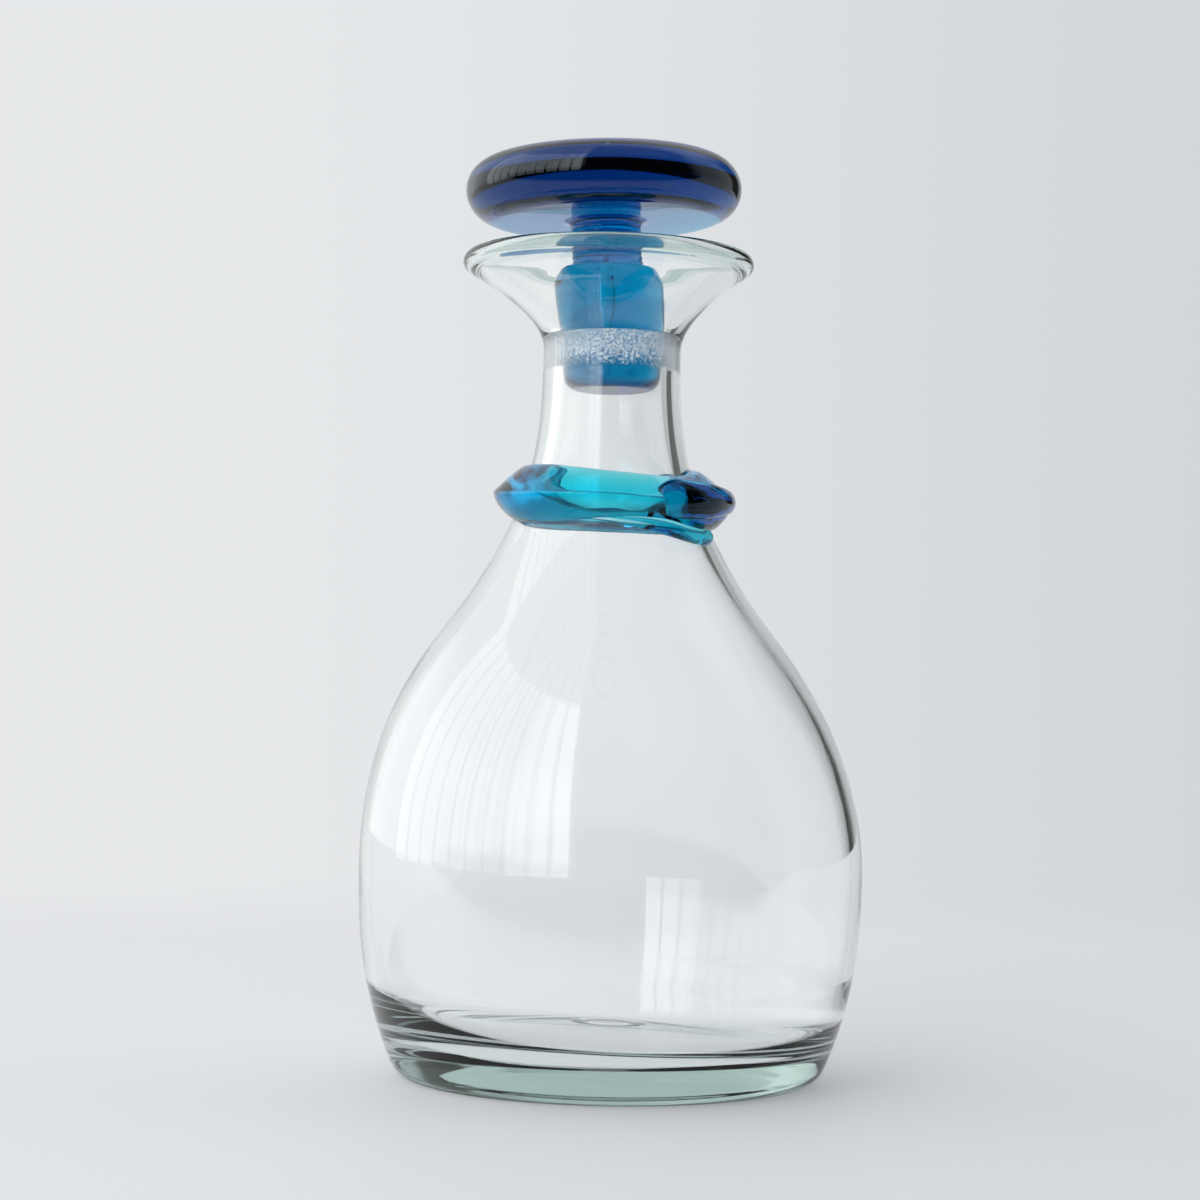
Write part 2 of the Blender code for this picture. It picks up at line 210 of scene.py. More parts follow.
def drawn_glass(name: str, facets: int, rings: list[Ring]) -> Object:
    """Draws a closed skin out ring by ring from a filled circle, which is carried on to the last ring.

    Args:
        name: The object's name.
        facets: How many sides a ring has.
        rings: The rings in order.

    Returns:
        The object, closed, facing out and smooth.
    """
    swelling = 3 / (2 + math.cos(math.tau / facets))
    deselect_all()
    bpy.ops.mesh.primitive_circle_add(vertices=facets, radius=rings[0].radius * swelling, fill_type="NGON",
                                      location=rings[0].centre)
    item = bpy.context.active_object
    item.name = name
    bpy.ops.object.mode_set(mode="EDIT")
    bpy.ops.mesh.select_mode(type="FACE")
    bpy.ops.mesh.select_all(action="SELECT")
    for before, ring in zip(rings, rings[1:]):
        bpy.ops.mesh.extrude_region_move(TRANSFORM_OT_translate={"value": ring.centre - before.centre})
        size = ring.radius / before.radius
        bpy.ops.transform.resize(value=(size, size, size), center_override=ring.centre)
        turn = ring.tip - before.tip
        if turn:
            bpy.ops.transform.rotate(value=turn, orient_axis="Y", center_override=ring.centre)
    bpy.ops.object.mode_set(mode="OBJECT")
    bpy.ops.object.transform_apply(location=True, rotation=True, scale=True)
    face_outwards(item)
    apply_modifier(item, "SUBSURF", levels=1, render_levels=1)
    bpy.ops.object.shade_smooth()
    return item


class Graph:
    """A node tree with short ways to add to it. Sockets or constants go into its nodes."""

    def __init__(self, tree: NodeTree) -> None:
        """Takes the tree."""
        self.tree = tree

    def feed(self, node: Node, inputs: dict[str | int, object]) -> None:
        """Links or sets a node's inputs.

        Args:
            node: The node.
            inputs: What goes in, by the input's name or number.
        """
        for name, value in inputs.items():
            if isinstance(value, Socket):
                self.tree.links.new(value, node.inputs[name])
            else:
                node.inputs[name].default_value = value

    def add(self, kind: str, inputs: dict[str | int, object], **settings: object) -> Node:
        """Adds a node.

        Args:
            kind: Its type, without the ShaderNode in front.
            inputs: What goes in, by the input's name or number.
            **settings: The node's own settings.

        Returns:
            The node.
        """
        node = self.tree.nodes.new("ShaderNode" + kind)
        for name, value in settings.items():
            setattr(node, name, value)
        self.feed(node, inputs)
        return node

    def compute(self, operation: str, *values: Socket | float) -> Socket:
        """Adds a Math node and gives its result."""
        return self.add("Math", dict(enumerate(values)), operation=operation).outputs[0]

    def noise(self, place: Socket, scale: Socket | float, detail: float = 2.0) -> Socket:
        """Adds a noise and gives its value."""
        return self.add("TexNoise", {"Vector": place, "Scale": scale, "Detail": detail}).outputs["Fac"]

    def vector(self, operation: str, *values: Socket | Colour) -> Sockets:
        """Adds a Vector Math node and gives its outputs."""
        return self.add("VectorMath", dict(enumerate(values)), operation=operation).outputs

    def split(self, vector: Socket) -> Sockets:
        """Adds a split of a vector and gives its three parts."""
        return self.add("SeparateXYZ", {"Vector": vector}).outputs

    def ramped(self, value: Socket, low: float, high: float) -> Socket:
        """Adds a smooth step.

        Args:
            value: What is stepped.
            low: Where it is 0.
            high: Where it is 1, which may be below low.

        Returns:
            The stepped value.
        """
        falls = high < low
        inputs = {"Value": value, "From Min": min(low, high), "From Max": max(low, high),
                  "To Min": float(falls), "To Max": float(not falls)}
        return self.add("MapRange", inputs, interpolation_type="SMOOTHSTEP").outputs["Result"]

    def blended(self, share: Socket, first: Socket | Colour, second: Socket | Colour) -> Socket:
        """Adds a mix of two colours.

        Args:
            share: How much of the second.
            first: A colour or a socket.
            second: A colour or a socket.

        Returns:
            The mixed colour.
        """
        sides = [side if isinstance(side, Socket) else (*side, 1) for side in (first, second)]
        inputs = {"Factor": share, "A": sides[0], "B": sides[1]}
        return self.add("Mix", inputs, data_type="RGBA").outputs["Result"]

    def place(self) -> Socket:
        """Adds the point that is shaded, in the object's own coordinates."""
        return self.tree.nodes.new("ShaderNodeTexCoord").outputs["Object"]

    def round_neck(self, place: Socket) -> tuple[Socket, Socket, Socket]:
        """Adds a point's place round the neck's middle line.

        Args:
            place: The point.

        Returns:
            Its distance out, its angle from the front to the right, and its height.
        """
        compute = self.compute
        aside, back, height = self.split(place)
        aside = compute("ADD", aside, NECK_DRIFT)
        out = compute("ADD", compute("MULTIPLY", aside, aside), compute("MULTIPLY", back, back))
        turn = compute("ARCTAN2", aside, compute("MULTIPLY", back, -1.0))
        return compute("SQRT", out), turn, height

    def put_out(self, name: str, value: Socket) -> Group:
        """Puts a value out of the group and gives the group."""
        self.feed(self.tree.nodes.new("NodeGroupOutput"), {name: value})
        return self.tree


def start_group(name: str, inputs: tuple[str, ...], output: str) -> tuple[Graph, Sockets]:
    """Starts a group that takes numbers and puts out one number.

    Args:
        name: Its name.
        inputs: The names of what goes in.
        output: The name of what comes out.

    Returns:
        Its graph, and what goes in by name.
    """
    group = bpy.data.node_groups.new(name, "ShaderNodeTree")
    for title in inputs:
        group.interface.new_socket(title, in_out="INPUT", socket_type="NodeSocketFloat")
    group.interface.new_socket(output, in_out="OUTPUT", socket_type="NodeSocketFloat")
    return Graph(group), group.nodes.new("NodeGroupInput").outputs


def start_material(name: str) -> tuple[Material, Graph, Node, Node]:
    """Starts a material, and gives its graph, its shader and its output too."""
    material = bpy.data.materials.new(name)
    material.use_nodes = True
    nodes = material.node_tree.nodes
    return material, Graph(material.node_tree), nodes["Principled BSDF"], nodes["Material Output"]


@dataclass(frozen=True)
class BlownSurface:
    """The group for the slow waves and fine cords of a blown surface, which puts out a height in metres."""

    wave_detail: float = 1.0
    cord_stretch: Colour = (1.0, 1.0, 0.12)
    cord_scale: float = 260.0

    def build(self) -> Group:
        """Makes the group."""
        names = ("Wave Size", "Wave Height", "Cord Height")
        graph, given = start_group("blown surface", names, "Height")
        place = graph.place()
        waves = graph.noise(place, graph.compute("DIVIDE", 1.0, given["Wave Size"]), self.wave_detail)
        drawn = graph.add("Mapping", {"Vector": place, "Scale": self.cord_stretch}).outputs["Vector"]
        cords = graph.noise(drawn, self.cord_scale)
        tall = graph.compute("MULTIPLY", waves, given["Wave Height"])
        return graph.put_out("Height", graph.compute("MULTIPLY_ADD", cords, given["Cord Height"], tall))


@dataclass(frozen=True)
class GroundMask:
    """The group that marks a ground zone between two heights, ragged below and with the grinding's grain."""

    patch_scale: float = 300.0
    patch_detail: float = 4.0
    patch_least: float = 0.35
    edge_share: float = 0.6
    edge_least: float = 0.1 * MILLIMETRE
    grain_scale: float = 1700.0
    grain_middle: float = 0.5

    def build(self) -> Group:
        """Makes the group."""
        names = ("Low", "High", "Radius", "Ragged", "Grain")
        graph, given = start_group("ground zone", names, "Mask")
        compute, place = graph.compute, graph.place()
        out, _, height = graph.round_neck(place)
        patches = graph.noise(place, self.patch_scale, self.patch_detail)
        lift = compute("MULTIPLY", compute("SUBTRACT", patches, self.patch_least), given["Ragged"])
        rise = compute("SUBTRACT", height, compute("ADD", given["Low"], lift))
        edge = compute("ADD", compute("MULTIPLY", given["Ragged"], self.edge_share), self.edge_least)
        grains = graph.noise(place, self.grain_scale)
        dip = compute("MULTIPLY", compute("SUBTRACT", grains, self.grain_middle), given["Grain"])
        cover = compute("MINIMUM", compute("ADD", compute("DIVIDE", rise, edge), dip), 1.0)
        below = compute("LESS_THAN", height, given["High"])
        within = compute("LESS_THAN", out, given["Radius"])
        zone = compute("MULTIPLY", compute("MULTIPLY", compute("MAXIMUM", cover, 0.0), below), within)
        return graph.put_out("Mask", compute("MULTIPLY", zone, compute("ADD", 1.0, dip)))


@dataclass(frozen=True)
class DeeperMask:
    """The group that marks deeper glass between two angles and two heights, with streaks round the neck."""

    start_gain: float = 12.0
    end_gain: float = 3.0
    streak_sizes: Colour = (900.0, 900.0, 1.5)
    streak_middle: float = 0.5

    def build(self) -> Group:
        """Makes the group."""
        names = ("Start", "End", "Low", "High", "Edge", "Streaks")
        graph, given = start_group("deeper glass", names, "Mask")
        compute = graph.compute
        out, turn, height = graph.round_neck(graph.place())
        past = compute("MULTIPLY", compute("SUBTRACT", turn, given["Start"]), self.start_gain)
        before = compute("MULTIPLY", compute("SUBTRACT", given["End"], turn), self.end_gain)
        above = compute("DIVIDE", compute("SUBTRACT", height, given["Low"]), given["Edge"])
        below = compute("DIVIDE", compute("SUBTRACT", given["High"], height), given["Edge"])
        zone = compute("MAXIMUM", compute("MINIMUM", past, before), compute("MINIMUM", above, below))
        zone = compute("MINIMUM", compute("MAXIMUM", zone, 0.0), 1.0)
        course = [compute("MULTIPLY", *pair) for pair in zip((out, height, turn), self.streak_sizes)]
        streaks = graph.noise(graph.add("CombineXYZ", dict(enumerate(course))).outputs["Vector"], 1.0)
        fade = compute("MULTIPLY", compute("SUBTRACT", streaks, self.streak_middle), given["Streaks"])
        mask = compute("MAXIMUM", compute("MULTIPLY", zone, compute("ADD", 1.0, fade)), 0.0)
        return graph.put_out("Mask", compute("MINIMUM", mask, 1.0))


@dataclass(frozen=True)
class Groups:
    """The groups that the finishes share."""

    waves: Group
    grinding: Group
    deepening: Group


@dataclass(frozen=True)
class GroundZone:
    """A ground zone of a taper: its heights, how far out it reaches, its roughness and its lower edge."""

    low: float
    high: float
    radius: float = 0.0145
    roughness: float = 0.0
    ragged: float = 0.0
    grain: float = 0.5

    def mask(self, graph: Graph, groups: Groups) -> Socket:
        """Adds the zone's mask to a material."""
        inputs = {"Low": self.low, "High": self.high, "Radius": self.radius, "Ragged": self.ragged,
                  "Grain": self.grain}
        return graph.add("Group", inputs, node_tree=groups.grinding).outputs["Mask"]


@dataclass(frozen=True)
class DeeperGlass:
    """Where a glass is deeper in colour: between two angles round the neck, and between two heights."""

    tint: Colour
    low: float
    high: float
    edge: float = 0.001
    streaks: float = 0.0
    start: float = NEVER_TURNED
    end: float = NEVER_TURNED

    def colour(self, graph: Graph, groups: Groups) -> Socket:
        """Adds the colour to a material, white except where the glass is deeper."""
        inputs = {"Start": self.start, "End": self.end, "Low": self.low, "High": self.high, "Edge": self.edge,
                  "Streaks": self.streaks}
        mask = graph.add("Group", inputs, node_tree=groups.deepening).outputs["Mask"]
        return graph.blended(mask, WHITE, self.tint)


@dataclass(frozen=True)
class GlassFinish:
    """A glass: the light it takes up, its shine, its surface's waves, its ground zone and its deeper part."""

    name: str
    absorbed_per_metre: Colour
    shine: Colour = WHITE
    refraction: float = 1.5
    wave_size: float = 0.03
    wave_height: float = 0.00008
    cord_height: float = 0.00001
    density_margin: float = 1.05
    ground: GroundZone | None = None
    deep: DeeperGlass | None = None

    def build(self, groups: Groups) -> Material:
        """Makes the material.

        Args:
            groups: The shared groups.

        Returns:
            The material.
        """
        material, graph, shader, output = start_material(self.name)
        graph.feed(shader, {"Base Color": (*WHITE, 1), "Transmission Weight": 1.0, "IOR": self.refraction,
                            "Roughness": 0.0, "Specular Tint": (*self.shine, 1)})
        if self.ground:
            mask = self.ground.mask(graph, groups)
            graph.feed(shader, {"Roughness": graph.compute("MULTIPLY", mask, self.ground.roughness)})
        if self.deep:
            graph.feed(shader, {"Base Color": self.deep.colour(graph, groups)})
        inputs = {"Wave Size": self.wave_size, "Wave Height": self.wave_height,
                  "Cord Height": self.cord_height}
        height = graph.add("Group", inputs, node_tree=groups.waves).outputs["Height"]
        bump = graph.add("Bump", {"Distance": 1.0, "Height": height})
        graph.feed(shader, {"Normal": bump.outputs["Normal"]})
        density = self.density_margin * max(self.absorbed_per_metre)
        passed = (*[1 - a / density for a in self.absorbed_per_metre], 1)
        inside = graph.add("VolumeAbsorption", {"Density": density, "Color": passed})
        graph.feed(output, {"Volume": inside.outputs["Volume"]})
        return material


@dataclass(frozen=True)
class BloomFinish:
    """The white bloom that grinding leaves on glass, thin enough to see the plug through. It also glows a
    little, a painted light for the light that reaches it through the glass.
    """

    name: str
    cover: float
    ground: GroundZone
    shade: Colour = (0.52, 0.70, 0.86)
    colour: Colour = (0.95, 0.98, 1.00)
    shade_to_colour: Pair = (0.5, 1.6)
    # painted light: a glow that stands in for the light reaching the bloom through the glass
    painted_glow: float = 0.25

    def build(self, groups: Groups) -> Material:
        """Makes the material.

        Args:
            groups: The shared groups.

        Returns:
            The material.
        """
        material, graph, shader, _ = start_material(self.name)
        mask = self.ground.mask(graph, groups)
        grain = graph.blended(graph.ramped(mask, *self.shade_to_colour), self.shade, self.colour)
        # the grain's colour also glows, as painted light for the light through the glass
        graph.feed(shader, {"Base Color": grain, "Emission Color": grain, "Emission Strength": self.painted_glow,
                            "Roughness": 1.0, "Alpha": graph.compute("MULTIPLY", mask, self.cover)})
        return material


CLEAR_GLASS = GlassFinish(
    "clear glass", absorbed_per_metre=(7.5, 4.8, 5.6),
    ground=GroundZone(low=0.1778, high=0.1886, roughness=0.45, ragged=0.0016),
    deep=DeeperGlass(tint=(0.60, 0.72, 0.68), low=0.2042, high=0.2200, edge=0.0015, streaks=3.5))
AQUA_GLASS = GlassFinish(
    "aqua glass", absorbed_per_metre=(560.0, 62.0, 26.0), shine=(0.45, 0.8, 1.0), wave_size=0.008,
    wave_height=0.00022, deep=DeeperGlass(tint=(0.92, 0.97, 1.00), low=0.1000, high=0.1405, edge=0.0012,
                                          start=math.radians(22), end=math.radians(140)))
COBALT_GLASS = GlassFinish(
    "cobalt glass", absorbed_per_metre=(320.0, 52.0, 25.0), shine=(0.80, 0.92, 1.0),
    ground=GroundZone(low=0.1700, high=0.1886, roughness=0.18, grain=0.8),
    deep=DeeperGlass(tint=(0.35, 0.40, 0.72), low=0.2058, high=0.2185, edge=0.0014))
BLOOM = BloomFinish(
    "ground glass", cover=0.48,
    ground=GroundZone(low=0.1784, high=0.2000, radius=1.0, ragged=0.0048, grain=2.4))


@dataclass
class Bottle:
    """The clear blown bottle, from its pontil scar out, up, over the rim and down to the cavity's floor."""

    facets: int = 64
    row: float = 0.0027
    fine_row: float = 0.0012
    pole: float = 0.0008
    kick_up: float = 0.0062
    pontil_radius: float = 0.0066
    pontil_height: float = 0.0012
    pontil_width: float = 0.0016
    ring_inner: float = 0.0425
    ring_outer: float = 0.0490
    heel_radius: float = 0.0544
    heel_height: float = 0.0032
    heel_slope: float = 0.455
    belly_height: float = 0.0515
    belly_radius: float = 0.0635
    shoulder_height: float = 0.1120
    shoulder_radius: float = 0.0420
    shoulder_slope: float = -0.785
    neck_foot_height: float = 0.1500
    neck_foot_radius: float = 0.0212
    neck_foot_slope: float = -0.305
    neck_height: float = 0.1840
    neck_radius: float = 0.0175
    flare_height: float = 0.2020
    flare_radius: float = 0.0328
    flare_slope: float = 1.45
    bead_height: float = 0.2059
    bead_radius: float = 0.0026
    bead_undercut: float = math.radians(15)
    bead_end: float = math.radians(171)
    rim_slope: float = 1.65
    lip_radius: float = 0.0371
    floor_glass: float = 0.0095
    floor_dome: float = 0.0052
    corner_width: float = 0.0135
    corner_height: float = 0.0170
    belly_wall: float = 0.0028
    shoulder_wall: float = 0.0030
    neck_wall: float = 0.0048
    flare_wall: float = 0.0043
    seat_foot: float = 0.1780
    seat_top: float = 0.1885
    seat_cut: float = 0.00005
    seat_slope: float = 0.07
    neck_drift: float = NECK_DRIFT
    lip_drift: float = 0.0013
    floor_drift: float = 0.0046
    floor_drift_top: float = 0.0280

    def __post_init__(self) -> None:
        """Lays the curves of the outer side and of the wall."""
        self.outer = SmoothCurve((
            Station(self.heel_height, self.heel_radius, self.heel_slope),
            Station(self.belly_height, self.belly_radius),
            Station(self.shoulder_height, self.shoulder_radius, self.shoulder_slope),
            Station(self.neck_foot_height, self.neck_foot_radius, self.neck_foot_slope),
            Station(self.neck_height, self.neck_radius),
            Station(self.flare_height, self.flare_radius, self.flare_slope),
        ))
        self.wall = SmoothCurve((
            Station(self.belly_height, self.belly_wall),
            Station(self.shoulder_height, self.shoulder_wall),
            Station(self.seat_foot, self.neck_wall),
            Station(self.neck_height, self.neck_wall),
            Station(self.flare_height, self.flare_wall),
        ))

    def seat_radius(self, height: float) -> float:
        """Gives the ground taper's radius at a height."""
        return self.neck_radius - self.neck_wall + self.seat_cut + self.seat_slope * (height - self.seat_foot)

    def inner_radius(self, height: float) -> float:
        """Gives the cavity's radius at a height, with the taper ground into it."""
        wall = self.wall.at(max(height, self.belly_height))
        blown = self.outer.at(height) - wall * math.hypot(1.0, self.outer.slope_at(height))
        if self.seat_foot <= height <= self.seat_top:
            return max(blown, self.seat_radius(height))
        return blown

    def drift(self, height: float) -> float:
        """Gives how far to the left the bottle's centre line runs at a height."""
        body = eased((height - self.belly_height) / (self.shoulder_height - self.belly_height))
        lip = eased((height - self.seat_top) / (self.bead_height - self.seat_top))
        return self.neck_drift * body + self.lip_drift * lip

    def cavity_drift(self, height: float) -> float:
        """Gives how far to the left the cavity's centre line runs at a height."""
        return self.drift(height) - self.floor_drift * (1 - eased(height / self.floor_drift_top))

    def rows(self, start: float, end: float, spacing: float) -> list[float]:
        """Gives heights after start up to end, about a spacing apart."""
        return span(start, end, max(1, round(abs(end - start) / spacing)))

    def underside(self) -> Profile:
        """Draws the foot from the middle out: pontil scar, pushed-up dome, standing ring, rolled heel."""
        def dome(radius: float) -> float:
            return self.kick_up * (1 - (radius / self.ring_inner) ** 2) ** 2

        points = [(self.pole, dome(self.pole))]
        scar_start = self.pontil_radius - self.pontil_width
        scar_end = self.pontil_radius + self.pontil_width
        points += [(radius, dome(radius)) for radius in span(self.pole, scar_start, 3)]
        for radius in span(scar_start, scar_end, 6):
            share = (radius - scar_start) / (scar_end - scar_start)
            points.append((radius, dome(radius) - self.pontil_height * math.sin(math.pi * share) ** 2))
        points += [(radius, dome(radius)) for radius in self.rows(scar_end, self.ring_inner, self.row)]
        points += [(radius, 0.0) for radius in span(self.ring_inner, self.ring_outer, 4)]
        heel = (self.heel_radius, self.heel_height)
        return points + bent_line(points[-1], (1, 0), heel, (self.heel_slope, 1), 6)

    def outer_side(self) -> Profile:
        """Draws the outer side from the heel to the top of the flare."""
        heights = [self.heel_height] + self.rows(self.heel_height, self.neck_foot_height, self.row)
        heights += self.rows(self.neck_foot_height, self.neck_height, self.row)
        heights += self.rows(self.neck_height, self.flare_height, self.fine_row)
        return [(self.outer.at(height), height) for height in heights]

    def bead(self) -> Profile:
        """Draws the fire-polished rim."""
        start = -math.atan2(1.0, self.flare_slope) - self.bead_undercut
        centre = (self.lip_radius - self.bead_radius, self.bead_height)
        return arc(centre, self.bead_radius, start, self.bead_end, 14)

    def cavity(self) -> Profile:
        """Draws the inner side from the rim down to the middle of the floor."""
        flare = (self.inner_radius(self.flare_height), self.flare_height)
        points = bent_line(self.bead()[-1], (-self.rim_slope, -1), flare, (-self.flare_slope, -1), 4)
        heights = [self.flare_height] + self.rows(self.flare_height, self.seat_top, self.fine_row)
        heights += self.rows(self.seat_top, self.seat_foot, self.fine_row)
        corner_top = self.floor_glass + self.corner_height
        heights += self.rows(self.seat_foot, self.belly_height, self.row)
        heights += self.rows(self.belly_height, corner_top, self.row)
        points += [(self.inner_radius(height), height) for height in heights]
        flat = self.inner_radius(corner_top) - self.corner_width
        for turn in span(0.0, math.pi / 2, 12):
            reach = self.corner_width * math.cos(turn)
            points.append((flat + reach, corner_top - self.corner_height * math.sin(turn)))
        for radius in self.rows(flat, self.pole, self.row):
            points.append((radius, self.floor_glass + self.floor_dome * (1 - (radius / flat) ** 2) ** 2))
        return points

    def build(self, glass: Material) -> Object:
        """Draws the whole bottle.

        Args:
            glass: Its material.

        Returns:
            The object.
        """
        rings = [Ring(h, r, -self.drift(h)) for r, h in self.underside() + self.outer_side() + self.bead()]
        rings += [Ring(h, r, -self.cavity_drift(h)) for r, h in self.cavity()]
        item = drawn_glass("bottle_glass", self.facets, rings)
        item.data.materials.append(glass)
        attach(item, Body.BOTTLE.value)
        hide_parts("bottle")
        return item


@dataclass
class GroundSeat:
    """The ground taper inside the neck that the plug seats in: a thin matt skin on the glass."""

    bottle: Bottle
    facets: int = 96
    low: float = 0.1786
    high: float = 0.1882
    off_wall: float = 0.00004
    thickness: float = 0.00006

    def build(self, bloom: Material) -> Object:
        """Makes the skin.

        Args:
            bloom: Its material.

        Returns:
            The object.
        """
        deselect_all()
        foot, top = (self.bottle.seat_radius(height) - self.off_wall for height in (self.low, self.high))
        bpy.ops.mesh.primitive_cone_add(
            vertices=self.facets, radius1=foot, radius2=top, depth=self.high - self.low,
            end_fill_type="NOTHING", location=(-self.bottle.neck_drift, 0, (self.low + self.high) / 2))
        item = bpy.context.active_object
        item.name = "ground_seat"
        bpy.ops.object.transform_apply(location=True, rotation=True, scale=True)
        face_outwards(item)
        apply_modifier(item, "SOLIDIFY", thickness=self.thickness, offset=-1.0)
        bpy.ops.object.shade_smooth_by_angle(angle=SMOOTH_ANGLE)
        item.data.materials.append(bloom)
        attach(item, Body.BOTTLE.value)
        return item


@dataclass(frozen=True)
class TrailStation:
    """The trail's edges at an angle round the neck, counted from its middle height."""

    turn: float
    top: float
    bottom: float


def swept_glass(name: str, course: list[tuple[Vector, float]], outline: Profile,
                closed: bool = False) -> Object:
    """Sweeps a section along a path and makes it a mesh.

    Args:
        name: The object's name.
        course: The path's points, each with the section's size there in metres for each unit.
        outline: The section, outwards and upwards.
        closed: Whether the path's end joins its start.

    Returns:
        The object.
    """
    section = bpy.data.curves.new(name + "_section", "CURVE")
    spline = section.splines.new("POLY")
    spline.points.add(len(outline) - 1)
    for point, (outwards, upwards) in zip(spline.points, outline):
        point.co = (outwards, upwards, 0, 1)
    spline.use_cyclic_u = True
    profile = bpy.data.objects.new(name + "_section", section)
    bpy.context.scene.collection.objects.link(profile)
    route = bpy.data.curves.new(name, "CURVE")
    route.dimensions = "3D"
    route.twist_mode = "Z_UP"
    route.bevel_mode = "OBJECT"
    route.bevel_object = profile
    route.use_fill_caps = not closed
    spline = route.splines.new("POLY")
    spline.points.add(len(course) - 1)
    for point, (place, size) in zip(spline.points, course):
        point.co = (*place, 1)
        point.radius = size
    spline.use_cyclic_u = closed
    item = bpy.data.objects.new(name, route)
    bpy.context.scene.collection.objects.link(item)
    make_active(item)
    bpy.ops.object.convert(target="MESH")
    item = bpy.context.active_object
    bpy.data.objects.remove(profile)
    face_outwards(item)
    return item


@dataclass
class NeckTrail:
    """The aqua trail, wound once round the foot of the neck, with a thick lap and a thin tongue."""

    bottle: Bottle
    middle: float = 0.1460
    gap: float = 0.0001
    sunk: float = 0.0004
    reach: float = 1.20
    edge_top: float = 0.46
    edge_bottom: float = 0.06
    pinch: float = 1.6
    slope: float = -0.42
    turns: int = 200
    stations: tuple[TrailStation, ...] = (
        TrailStation(0, 0.0054, -0.0068),
        TrailStation(35, 0.0046, -0.0078),
        TrailStation(58, 0.0050, -0.0084),
        TrailStation(76, 0.0064, -0.0082),
        TrailStation(98, 0.0078, -0.0074),
        TrailStation(125, 0.0080, -0.0068),
        TrailStation(160, 0.0064, -0.0066),
        TrailStation(215, 0.0070, -0.0060),
        TrailStation(270, 0.0079, -0.0052),
        TrailStation(312, 0.0072, -0.0072),
    )
    lozenge_points: int = 32
    lap_start: float = 24.0
    lap_end: float = 128.0
    lap_steps: int = 80
    lap_heights: tuple[Station, ...] = (Station(0.0, 0.0046), Station(0.15, 0.0050), Station(0.6, 0.0030),
                                        Station(1.0, 0.0016))
    lap_proud: tuple[Station, ...] = (Station(0.0, 0.0002), Station(0.25, 0.0018), Station(0.6, 0.0004),
                                      Station(1.0, -0.0030))
    lap_drop: float = -0.0004
    lap_blunt: float = 0.11
    lap_blunt_depth: float = 0.96
    lap_rise: float = 0.5
    lap_width: float = 0.62
    lap_pinch: float = 1.15
    tongue: tuple[Station, ...] = (
        Station(-16, 0.1397), Station(12, 0.1390, -0.00004), Station(33, 0.1375, -0.00010),
        Station(46, 0.1362, -0.00008), Station(57, 0.1357, 0.0), Station(66, 0.1364, 0.0001))
    tongue_steps: int = 90
    tongue_size: float = 0.0021
    tongue_start: float = 0.25
    tongue_full: float = 0.6
    tongue_tip: float = 0.07
    tongue_blunt: float = 0.02
    tongue_width: float = 1.0
    tongue_out: float = 0.30

    def edges_at(self, turn: float) -> tuple[float, float]:
        """Reads the trail's top and bottom at an angle from the front to the right.

        Args:
            turn: The angle in degrees.

        Returns:
            Heights above the trail's middle.
        """
        rounds = []
        for lap in (-360, 0, 360):
            rounds += [TrailStation(s.turn + lap, s.top, s.bottom) for s in self.stations]
        curves = []
        for field in ("top", "bottom"):
            stations = []
            for before, here, after in zip(rounds, rounds[1:], rounds[2:]):
                slope = (getattr(after, field) - getattr(before, field)) / (after.turn - before.turn)
                stations.append(Station(here.turn, getattr(here, field), slope))
            curves.append(SmoothCurve(tuple(stations)))
        return curves[0].at(turn), curves[1].at(turn)

    def place(self, turn: float, height: float, out: float) -> Vector:
        """Gives the point at an angle from the front to the right, a height and a distance from the neck."""
        radius = self.bottle.outer.at(height) + out
        side = math.radians(turn)
        return Vector((radius * math.sin(side) - self.bottle.drift(height), -radius * math.cos(side), height))

    def wedge(self) -> Profile:
        """Draws the trail's section, 2 units tall: a round-nosed wedge, sheared along the neck."""
        points = []
        for turn in [-math.pi / 2] + span(-math.pi / 2, math.pi / 2, 36):
            up = math.copysign(abs(math.sin(turn)) ** self.pinch, turn)
            edge = self.edge_bottom + (self.edge_top - self.edge_bottom) * eased((up + 1) / 2)
            points.append((edge + (self.reach - edge) * max(math.cos(turn), 0.0) ** self.pinch, up))
        points += [(0.0, up) for up in [1.0] + span(1.0, -1.0, 8)]
        return [(out + self.slope * up, up) for out, up in points]

    def lozenge(self, width: float, pinch: float) -> Profile:
        """Draws an oval section, 2 units tall.

        Args:
            width: Its half width.
            pinch: 1 for an oval and more for a soft diamond.

        Returns:
            The outline.
        """
        points = []
        for turn in [0.0] + span(0.0, math.tau, self.lozenge_points)[:-1]:
            out = width * math.copysign(abs(math.cos(turn)) ** pinch, math.cos(turn))
            points.append((out, math.copysign(abs(math.sin(turn)) ** pinch, math.sin(turn))))
        return points

    def wind_ring(self) -> Object:
        """Winds the trail itself."""
        course = []
        for i in range(self.turns):
            turn = 360 * i / self.turns
            top, bottom = self.edges_at(turn)
            place = self.place(turn, self.middle + (top + bottom) / 2, -self.sunk)
            course.append((place, (top - bottom) / 2))
        return swept_glass("trail_ring", course, self.wedge(), closed=True)

    def lay_lap(self) -> Object:
        """Lays the thick first end over the trail, blunt at its start and sinking in at its far end."""
        course = []
        heights, proud = SmoothCurve(self.lap_heights), SmoothCurve(self.lap_proud)
        for i in range(self.lap_steps + 1):
            share = i / self.lap_steps
            turn = self.lap_start + (self.lap_end - self.lap_start) * share
            top, bottom = self.edges_at(turn)
            blunt = math.sqrt(1 - (1 - min(share / self.lap_blunt, 1.0)) ** 2 * self.lap_blunt_depth)
            size = heights.at(share)
            out = self.reach * (top - bottom) / 2 + proud.at(share) - self.lap_width * size
            height = self.middle + (top + bottom) / 2 * self.lap_rise + self.lap_drop
            course.append((self.place(turn, height, out), size * blunt))
        return swept_glass("trail_lap", course, self.lozenge(self.lap_width, self.lap_pinch))

